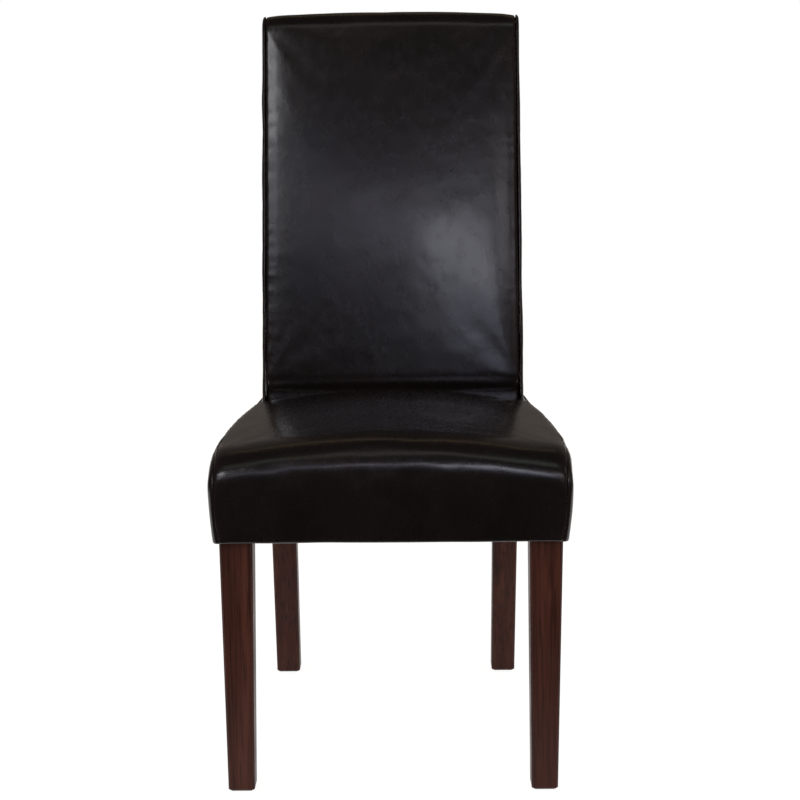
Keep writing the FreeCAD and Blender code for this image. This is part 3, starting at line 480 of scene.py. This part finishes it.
def panel(name, points, polish, away, outward, nodes_replaced):
    """A leather panel through a grid of points, as thick as leather, soft at its edges."""
    rows, columns = points.shape[:2]
    bpy.ops.mesh.primitive_grid_add(x_subdivisions=columns - 1, y_subdivisions=rows - 1)
    piece = bpy.context.object
    piece.name = piece.data.name = name
    mesh = piece.data
    mesh.vertices.foreach_set("co", points.reshape(-1))
    seam = mesh.attributes.new("seam", "FLOAT", "POINT")
    seam.data.foreach_set("value", np.asarray(polish, dtype=np.float32).reshape(-1))
    mesh.update()
    middle = mesh.polygons[(rows // 2) * (columns - 1) + columns // 2]
    bpy.ops.object.mode_set(mode="EDIT")
    bpy.ops.mesh.select_all(action="SELECT")
    if middle.normal.dot(Vector(outward)) < 0:
        bpy.ops.mesh.flip_normals()
    bpy.ops.object.mode_set(mode="OBJECT")
    settle(piece, away)
    bpy.ops.object.mode_set(mode="EDIT")
    bpy.ops.mesh.remove_doubles(threshold=0.00005)
    bpy.ops.object.mode_set(mode="OBJECT")
    shell = piece.modifiers.new("leather", "SOLIDIFY")
    shell.thickness = LEATHER
    shell.offset = -1
    shell.use_even_offset = False
    bpy.ops.object.modifier_apply(modifier="leather")
    smooth = piece.modifiers.new("smooth", "SUBSURF")
    smooth.levels = smooth.render_levels = 1
    smooth.boundary_smooth = "PRESERVE_CORNERS"
    bpy.ops.object.modifier_apply(modifier="smooth")
    bpy.ops.object.shade_smooth()
    piece.data.materials.append(leather)
    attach(piece, "root")
    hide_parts(*nodes_replaced)


def thread():
    shade = Shader("dark_thread")
    twist = shade.noise(shade.place, 2400.0, 2.0)
    colour = shade.ramp(twist, [(0.35, (0.008, 0.006, 0.006)), (0.65, (0.026, 0.020, 0.019))])
    return shade.finish(
        Base_Color=colour, Roughness=shade.spread(twist, 0.3, 0.7, 0.5, 0.7),
        Normal=shade.bump(twist, 0.0001, 0.6), Specular_IOR_Level=0.3)


dark_thread = thread()
PITCH = 0.0058
STITCH_LENGTH = 0.0042
STITCH_RADIUS = 0.00042


def inside_seam(points, facing, away, column_side, depth):
    """The line on a panel that keeps a given depth from the seam at one side."""
    line, outward = [], []
    half_way = points.shape[1] // 2
    picked = slice(0, half_way) if column_side < 0 else slice(None, half_way, -1)
    for row in range(points.shape[0]):
        depths_here = away[row, picked]
        line.append([
            np.interp(depth, depths_here, points[row, picked, axis]) for axis in range(3)])
        outward.append([
            np.interp(depth, depths_here, facing[row, picked, axis]) for axis in range(3)])
    return np.array(line), np.array(outward)


def topstitching(name, line, outward):
    """A row of stitches along a line of points, each half sunk into the leather under it."""
    bpy.ops.mesh.primitive_uv_sphere_add(segments=6, ring_count=4, radius=STITCH_RADIUS)
    pattern = bpy.context.object
    shape = np.array([vertex.co for vertex in pattern.data.vertices])
    sides = [tuple(face.vertices) for face in pattern.data.polygons]
    bpy.data.objects.remove(pattern)
    shape[:, 2] *= STITCH_LENGTH / 2 / STITCH_RADIUS
    gone = lengths_along(line, 0)
    corners, faces = [], []
    for place in np.arange(PITCH, gone[-1] - PITCH, PITCH):
        centre = np.array([np.interp(place, gone, line[:, axis]) for axis in range(3)])
        end = np.array([np.interp(place + 0.001, gone, line[:, axis]) for axis in range(3)])
        up = np.array([np.interp(place, gone, outward[:, axis]) for axis in range(3)])
        along = (end - centre) / np.linalg.norm(end - centre)
        aside = np.cross(along, up)
        aside /= np.linalg.norm(aside)
        first = len(corners) * len(shape)
        turned = shape @ np.array([aside, np.cross(aside, along), along])
        corners.append(centre + turned)
        faces += [tuple(index + first for index in side) for side in sides]
    mesh = bpy.data.meshes.new(name)
    mesh.from_pydata(np.concatenate(corners).tolist(), [], faces)
    row = bpy.data.objects.new(name, mesh)
    bpy.context.collection.objects.link(row)
    bpy.ops.object.select_all(action="DESELECT")
    row.select_set(True)
    bpy.context.view_layer.objects.active = row
    bpy.ops.object.mode_set(mode="EDIT")
    bpy.ops.mesh.select_all(action="SELECT")
    bpy.ops.mesh.normals_make_consistent(inside=False)
    bpy.ops.object.mode_set(mode="OBJECT")
    bpy.ops.object.shade_smooth()
    mesh.materials.append(dark_thread)
    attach(row, "root")


over = both_sides(seam_spaced(34))
roll = [ROLL_DEPTH * (1 - math.cos(turn)) for turn in steps(0.0, math.pi / 2, 18)]
depths = roll[:-1] + steps(ROLL_DEPTH, SEAT_DEPTH, 58)[:-1]
depths += steps(SEAT_DEPTH, SEAT_REAR - TOP_SHORT, 12)
front_edge = [seat_over(0.0, abs(share)) for share in over]
rows = []
for inward in steps(HEM, HEM_FOLD, HEM_STEPS):
    rows.append([
        (math.copysign(x, share) * (1 - DRAW_IN / SEAT_HALF), inward, BOTTOM)
        for share, (x, _) in zip(over, front_edge)])
# Rows up the front: height above the bottom edge, share of the way up, depth behind the front.
rises = [(0.0002 * 1.6, 0.0, 0.0006), (0.001 * 1.6, 0.0, 0.0)]
rises += [(0.0, climbed, 0.0) for climbed in steps(0.003, 1.0, 16)[1:-1]]
for above, climbed, behind in rises:
    row = []
    for share, (x, z) in zip(over, front_edge):
        level = BOTTOM + above + (z - BOTTOM) * climbed
        drawn_in = 0.0
        if level < LEVEL - ROLL_HEIGHT:
            drawn_in = DRAW_IN * (1 - (level - BOTTOM) / (LEVEL - ROLL_HEIGHT - BOTTOM)) ** 2
        row.append((math.copysign(x * (1 - drawn_in / SEAT_HALF), share), behind, level))
    rows.append(row)
for y in depths:
    across = [seat_over(y, abs(share)) for share in over]
    rows.append([(math.copysign(x, share), y, z) for share, (x, z) in zip(over, across)])
top = np.array(rows)
top[..., 1] += front
along = lengths_along(top[:, -1], 0)
away = nearer_end(lengths_along(top, 1))
shift, polish = seam_profile(away)
half_way = top.shape[1] // 2
wave_left = ripples(3, (0.011, 0.019, 0.034))
wave_right = ripples(7, (0.012, 0.021, 0.036))
pucker(shift[:, :half_way], away[:, :half_way], along, wave_left, 0.0011, 0.011)
pucker(shift[:, half_way:], away[:, half_way:], along, wave_right, 0.0011, 0.011)
shift += 0.0005 * unevenness(top, 0.16, 11) + 0.00012 * unevenness(top, 0.045, 12)
shift[:HEM_STEPS] = 0.0
before_back = (front + SEAT_DEPTH) - top[..., 1]
shift -= CRUSH * np.clip(1 - before_back / CRUSH_REACH, 0.0, 1.0) ** 2
facing = normals_of(top, (0, -0.2, 1))
top += facing * shift[..., None]
panel("seat_top_front_panel", top, polish, away, (0, -0.2, 1),
      ["seat_top_front_cover", "seat_foam", "seat_front_padding"])
for side, label in SIDES:
    line, outward = inside_seam(top, facing, away, side, STITCH_INSIDE)
    topstitching("seat_%s_topstitching" % label, line[HEM_STEPS + 2:], outward[HEM_STEPS + 2:])

corner = [CORNER * (1 - math.cos(turn)) for turn in steps(0.0, math.pi / 2, 6)]
rear_corner = [
    SEAT_REAR - CORNER / 2 * (1 - math.sin(turn)) for turn in steps(0.0, math.pi / 2, 4)]
stations = corner[:-1] + steps(CORNER, ROLL_DEPTH, 12)[:-1]
stations += steps(ROLL_DEPTH, rear_corner[0], 80)[:-1] + rear_corner
down = [1 - share for share in seam_spaced(22)[::-1]]
for side, label in SIDES:
    rows = []
    for y in stations:
        fall = [seat_side(y, share) for share in down]
        x = fall[-1][0]
        depth = min(max(y, 0.0016), SEAT_REAR - 0.0016)
        hem = [0.0012] + steps(0.003, HEM, HEM_STEPS - 1)
        rows.append([(x, y, z) for x, z in fall] + [
            (x - inward, min(max(depth, inward), SEAT_REAR - inward), BOTTOM - 0.0002)
            for inward in hem])
    wall = np.array(rows)
    wall[..., 1] += front
    wall[..., 0] *= side
    down_lengths = lengths_along(wall, 1)
    from_front = lengths_along(wall[:, PLAIN_COLUMN], 0)
    away = np.minimum(down_lengths, from_front[:, None])
    away = np.minimum(away, (from_front[-1] - from_front)[:, None])
    shift, polish = seam_profile(away)
    wave = ripples(21 + side, (0.012, 0.022, 0.037))
    pucker(shift, down_lengths, lengths_along(wall[:, 0], 0), wave, 0.0010, 0.012)
    shift += 0.0006 * unevenness(wall, 0.09, 31 + side)
    shift[:, -HEM_STEPS:] = 0.0
    wall += normals_of(wall, (side, 0, 0)) * shift[..., None]
    panel("seat_%s_side_panel" % label, wall, polish, away, (side, 0, 0),
          ["seat_%s_side_cover" % label, "seat_%s_padding" % label])


# Back cover: a front panel that swells and wraps over the top, a boxing down each side and an
# outside panel that runs on down behind the seat to its hem under the rear rail. The same
# leather, settled the same way; the front seams are stitched.
LEAN = math.radians(10.9)
BACK_LEVEL = 0.4565          # where the back's front face meets the seat
BACK_THICK = 0.078
BACK_HALF = 0.1995
TOP_HALF = 0.198
SWELL = 0.006
TOP_CROWN = 0.004
FRONT_ROUND = 0.028
REAR_ROUND = 0.014
EDGE = 0.007
BACK_SEAM = 0.004
SEAM_DOWN = 0.966            # share of the rear face, from below, where the top seam runs
TUCK = 0.009
HEIGHT = 1.0435
TOP_RUN = FRONT_ROUND + (
    HEIGHT - BACK_LEVEL - FRONT_ROUND * (1 - math.sin(LEAN))) / math.cos(LEAN)
EDGE_DROP, EDGE_REACH = 0.0034, 0.012
CURL, CURL_ABOVE, CURL_REACH = 0.009, 0.0165, 0.022


def leaned(x, out, up):
    """A point of the back from its place across, behind the front face and up along it."""
    narrowing = (BACK_HALF - TOP_HALF) / TOP_RUN / BACK_HALF
    return (
        x * (1 - narrowing * up),
        front + SEAT_DEPTH + out * math.cos(LEAN) + up * math.sin(LEAN),
        BACK_LEVEL + up * math.cos(LEAN) - out * math.sin(LEAN))


def back_profile(x, edge, face, share):
    """A point of the outline at one width: up the front or rear face, to the top's middle."""
    middling = 1 - (x / BACK_HALF) ** 2
    top = TOP_RUN - TOP_CROWN * (1 - middling) - edge
    out, turn_radius = edge, FRONT_ROUND - edge / 2
    direction, swell = 1, SWELL * middling + 0.001
    if face == "rear":
        out, turn_radius = BACK_THICK - edge, REAR_ROUND - edge / 2
        direction, swell = -1, 0.0
    centre = (BACK_THICK + FRONT_ROUND - REAR_ROUND) / 2
    straight = top - turn_radius + TUCK
    curve = turn_radius * math.pi / 2
    flat = abs(centre - out - direction * turn_radius)
    run = share * (straight + curve + flat)
    if run < straight:
        up = run - TUCK
        place = max(0.0, up / (top - turn_radius))
        return out - direction * swell * math.sin(math.pi * min(1.0, place)), up
    if run < straight + curve:
        turn = (run - straight) / turn_radius
        return (out + direction * turn_radius * (1 - math.cos(turn)),
                top - turn_radius + turn_radius * math.sin(turn))
    return out + direction * (turn_radius + run - straight - curve), top


def back_row(places, face, share):
    """A row of points across the back, at one share of the way up a face."""
    return [
        leaned(x, *back_profile(x, EDGE * quarter(BACK_HALF - abs(x), EDGE), face, share))
        for x in places]


upward = steps(0.0, 0.94, 96)[:-1] + steps(0.94, 1.0, 16)
widths = both_sides([(BACK_HALF - BACK_SEAM) * share for share in seam_spaced(34)])
rows = [back_row(widths, "front", share) for share in upward]
rows += [back_row(widths, "rear", share) for share in steps(1.0, SEAM_DOWN, 8)[1:]]
face = np.array(rows)
along = lengths_along(face[:, 0], 0)
side_away = nearer_end(lengths_along(face, 1))
away = np.minimum(side_away, (along[-1] - along)[:, None])
shift, polish = seam_profile(away)
shift -= EDGE_DROP * np.exp(-(side_away / EDGE_REACH) ** 1.3)
half_way = face.shape[1] // 2
wave_left = ripples(41, (0.010, 0.018, 0.031))
wave_right = ripples(42, (0.012, 0.021, 0.040))
pucker(shift[:, :half_way], side_away[:, :half_way], along, wave_left, 0.0015, 0.010)
pucker(shift[:, half_way:], side_away[:, half_way:], along, wave_right, 0.0009, 0.010)
shift += 0.0005 * unevenness(face, 0.20, 51) + 0.00008 * unevenness(face, 0.05, 52)
above_seat = face[..., 2] - (BACK_LEVEL + CURL_ABOVE)
shift -= CURL * np.clip(1 - above_seat / CURL_REACH, 0.0, 1.0) ** 2
facing = normals_of(face, (0, -1, 0.2))
face += facing * shift[..., None]
panel("back_front_panel", face, polish, away, (0, -1, 0.2),
      ["back_front_cover", "back_front_foam", "back_top_padding"])
for side, label in SIDES:
    line, outward = inside_seam(face, facing, side_away, side, STITCH_INSIDE)
    topstitching("back_%s_topstitching" % label, line, outward)

turns = [
    BACK_HALF - EDGE + EDGE * math.sin(turn)
    for turn in steps(math.asin((EDGE - BACK_SEAM) / EDGE), math.pi / 2, 8)]
for side, label in SIDES:
    outer = [side * x for x in turns]
    rows = []
    for share in upward:
        ahead = back_row(outer, "front", share)
        behind = back_row(outer, "rear", share)
        start, end = np.array(ahead[-1]), np.array(behind[-1])
        between = [tuple(start + (end - start) * part) for part in steps(0.0, 1.0, 18)[1:-1]]
        rows.append(ahead + between + behind[::-1])
    strip = np.array(rows)
    across = lengths_along(strip, 1)
    away = nearer_end(across)
    shift, polish = seam_profile(away)
    shift *= np.minimum(1.0, across[:, -1:] / 0.03)
    shift += 0.0005 * unevenness(strip, 0.08, 61 + side)
    wave = ripples(71 + side, (0.012, 0.020, 0.033))
    pucker(shift, away, lengths_along(strip[:, 0], 0), wave, 0.0008, 0.009)
    strip += normals_of(strip, (side, 0, 0)) * shift[..., None]
    panel("back_%s_boxing_panel" % label, strip, polish, away, (side, 0, 0),
          ["back_%s_boxing" % label, "back_%s_padding" % label])

rows = [back_row(widths, "rear", share) for share in steps(SEAM_DOWN, 0.03, 90)]
rear_half = REAR_HALF - SEAT_SEAM
outward_shares = [x / (BACK_HALF - BACK_SEAM) for x in widths]
for z in steps(BACK_LEVEL - 0.012, BOTTOM + 0.0012, 20):
    narrowed = 1.0
    if z < LEVEL:
        narrowed = 1 - DRAW_IN / SEAT_HALF * ((LEVEL - z) / (LEVEL - BOTTOM)) ** 2
    rows.append([
        (share * rear_half * narrowed, front + SEAT_REAR + 0.0004, z)
        for share in outward_shares])
for inward in [0.0016] + steps(0.004, HEM, HEM_STEPS - 1):
    rows.append([
        (share * (rear_half - DRAW_IN), front + SEAT_REAR - inward, BOTTOM - 0.0001)
        for share in outward_shares])
outside = np.array(rows)
along = lengths_along(outside[:, 0], 0)
side_away = nearer_end(lengths_along(outside, 1))
away = np.minimum(side_away, along[:, None])
shift, polish = seam_profile(away)
wave = ripples(81, (0.014, 0.024, 0.042))
pucker(shift, side_away, along, wave, 0.0008, 0.010)
shift += 0.0007 * unevenness(outside, 0.12, 91)
shift[-HEM_STEPS:] = 0.0
outside += normals_of(outside, (0, 1, 0.1)) * shift[..., None]
panel("outside_back_panel", outside, polish, away, (0, 1, 0.1),
      ["outside_back_cover", "back_rear_padding", "seat_rear_padding"])


# Floor and light, not part of the object: a plain pale floor that looks white, a white
# surround, and soft boxes in front, at the sides, above and behind that give the highlights.
def pale_floor():
    shade = Shader("pale_floor")
    shade.tree.nodes.remove(shade.surface)
    matte = shade.add("ShaderNodeBsdfDiffuse", {"Color": (0.9, 0.9, 0.9, 1.0)})
    glow = shade.add("ShaderNodeEmission", {"Color": (1.0, 1.0, 1.0, 1.0), "Strength": 1.16})
    path = shade.add("ShaderNodeLightPath")
    mirrored = shade.math("MAXIMUM", path.outputs["Is Glossy Ray"],
                          path.outputs["Is Transmission Ray"])
    shown = shade.math("MAXIMUM", path.outputs["Is Camera Ray"], mirrored)
    both = shade.add("ShaderNodeMixShader", {"Fac": shade.math("MULTIPLY", shown, 0.8)})
    shade.tree.links.new(matte.outputs[0], both.inputs[1])
    shade.tree.links.new(glow.outputs[0], both.inputs[2])
    shade.tree.links.new(both.outputs[0], shade.tree.nodes["Material Output"].inputs[0])
    return shade.material


FLOOR_FRONT = -0.6
FLOOR_REACH = 7.0
bpy.ops.mesh.primitive_plane_add(size=1.0, location=(0.0, 0.0, 0.0))
floor = bpy.context.object
floor.name = "floor"
bpy.ops.object.mode_set(mode="EDIT")
bpy.ops.mesh.select_all(action="SELECT")
bpy.ops.transform.resize(value=(2 * FLOOR_REACH, FLOOR_REACH - FLOOR_FRONT, 1.0))
bpy.ops.transform.translate(value=(0.0, (FLOOR_REACH + FLOOR_FRONT) / 2, 0.0))
bpy.ops.object.mode_set(mode="OBJECT")
floor.data.materials.append(pale_floor())


def studio_world():
    """White to the camera, a warm light all round, and a dim warm glow behind for reflections."""
    world = bpy.data.worlds.new("studio")
    world.use_nodes = True
    tree = world.node_tree
    lit = tree.nodes["Background"]
    lit.inputs["Color"].default_value = (0.83, 0.71, 0.62, 1.0)
    seen = tree.nodes.new("ShaderNodeBackground")
    seen.inputs["Color"].default_value = (1.0, 1.0, 1.0, 1.0)
    mirrored = tree.nodes.new("ShaderNodeBackground")
    mirrored.inputs["Color"].default_value = (0.80, 0.69, 0.61, 1.0)
    direction = tree.nodes.new("ShaderNodeTexCoord")
    split = tree.nodes.new("ShaderNodeSeparateXYZ")
    behind = tree.nodes.new("ShaderNodeMapRange")
    behind.inputs["From Min"].default_value = 0.30
    behind.inputs["From Max"].default_value = 0.85
    behind.inputs["To Min"].default_value = 0.0
    behind.inputs["To Max"].default_value = 0.15
    path = tree.nodes.new("ShaderNodeLightPath")
    glossy = tree.nodes.new("ShaderNodeMath")
    glossy.operation = "MAXIMUM"
    first = tree.nodes.new("ShaderNodeMixShader")
    second = tree.nodes.new("ShaderNodeMixShader")
    join = tree.links.new
    join(direction.outputs["Generated"], split.inputs[0])
    join(split.outputs["Y"], behind.inputs["Value"])
    join(behind.outputs["Result"], mirrored.inputs["Strength"])
    join(path.outputs["Is Glossy Ray"], glossy.inputs[0])
    join(path.outputs["Is Transmission Ray"], glossy.inputs[1])
    join(glossy.outputs[0], first.inputs["Fac"])
    join(lit.outputs[0], first.inputs[1])
    join(mirrored.outputs[0], first.inputs[2])
    join(path.outputs["Is Camera Ray"], second.inputs["Fac"])
    join(first.outputs[0], second.inputs[1])
    join(seen.outputs[0], second.inputs[2])
    join(second.outputs[0], tree.nodes["World Output"].inputs["Surface"])
    return world


bpy.context.scene.world = studio_world()


def soft_box(name, place, aim, width, height, radiance, colour):
    """A rectangular light with even brightness over its face."""
    light = bpy.data.lights.new(name, "AREA")
    light.shape = "RECTANGLE"
    light.size, light.size_y = width, height
    light.energy = radiance * math.pi * width * height
    light.color = colour
    lamp = bpy.data.objects.new(name, light)
    bpy.context.collection.objects.link(lamp)
    lamp.location = place
    lamp.rotation_euler = (Vector(aim) - Vector(place)).to_track_quat("-Z", "Y").to_euler()


soft_box("window_right", (0.45, -2.35, 1.45), (0.1, 0.2, 0.75), 0.5, 0.3, 5.2, (0.87, 0.87, 1.0))
soft_box("window_low", (0.5, -2.35, 1.15), (0.1, 0.2, 0.75), 0.5, 0.25, 1.6, (0.60, 0.68, 1.0))
soft_box("window_far", (1.05, -2.3, 1.6), (0.1, 0.2, 0.75), 0.4, 0.4, 2.6, (0.94, 0.92, 1.0))
soft_box("window_wide", (0.0, -2.6, 1.65), (0.0, 0.2, 0.75), 0.7, 0.3, 1.7, (0.80, 0.79, 1.0))
soft_box("window_left", (-0.6, -2.5, 1.7), (0.0, 0.2, 0.75), 0.5, 0.4, 0.9, (0.74, 0.76, 1.0))
soft_box("edge_left", (-1.25, -2.2, 2.15), (-0.2, 0.2, 0.9), 0.4, 0.5, 7.5, (0.96, 0.96, 1.0))
soft_box("edge_low", (-1.25, -2.2, 1.65), (-0.2, 0.2, 0.75), 0.4, 0.5, 2.1, (0.84, 0.86, 1.0))
soft_box("high_left", (-0.75, -1.3, 2.6), (-0.2, -0.3, 0.45), 0.7, 0.5, 0.4, (0.80, 1.0, 0.80))
soft_box("high_middle", (0.0, -1.25, 2.7), (0.0, -0.3, 0.45), 0.8, 0.5, 0.5, (1.0, 0.88, 0.84))
soft_box("high_right", (0.8, -1.25, 2.7), (0.1, -0.3, 0.45), 0.8, 0.5, 0.6, (0.80, 1.0, 0.90))
soft_box("side_right", (2.2, -0.6, 1.4), (0.0, 0.0, 0.7), 0.7, 1.2, 0.7, (0.85, 1.0, 0.80))
soft_box("ceiling_strip", (0.0, 1.2, 2.7), (0.0, -0.2, 0.45), 2.0, 0.14, 0.6, (1.0, 0.70, 0.30))


# Camera at the photograph's viewing angle, from a fit of the chair's corners: 0.84 m above the
# floor and looking 9 degrees down, turned and rolled by a few tenths of a degree.
YAW = math.radians(-0.315)
PITCH = math.radians(8.98)
ROLL = math.radians(-0.46)
FOCAL = 1631.1               # in pixels of a picture 800 wide
PICTURE_WIDTH = 800
SENSOR_WIDTH = 36.0
CAMERA_PLACE = (0.0242, -2.3370, 0.8443)
ahead = Vector((
    math.sin(YAW) * math.cos(PITCH), math.cos(YAW) * math.cos(PITCH), -math.sin(PITCH)))
level_right = Vector((math.cos(YAW), -math.sin(YAW), 0.0))
level_up = level_right.cross(ahead)
right = level_right * math.cos(ROLL) + level_up * math.sin(ROLL)
up = level_up * math.cos(ROLL) - level_right * math.sin(ROLL)
lens = bpy.data.cameras.new("camera")
lens.sensor_width = SENSOR_WIDTH
lens.lens = FOCAL * SENSOR_WIDTH / PICTURE_WIDTH
camera = bpy.data.objects.new("camera", lens)
bpy.context.collection.objects.link(camera)
turn = Matrix((right, up, -ahead)).transposed()
camera.matrix_world = Matrix.Translation(CAMERA_PLACE) @ turn.to_4x4()
bpy.context.scene.camera = camera
bpy.context.scene.view_settings.view_transform = "Standard"
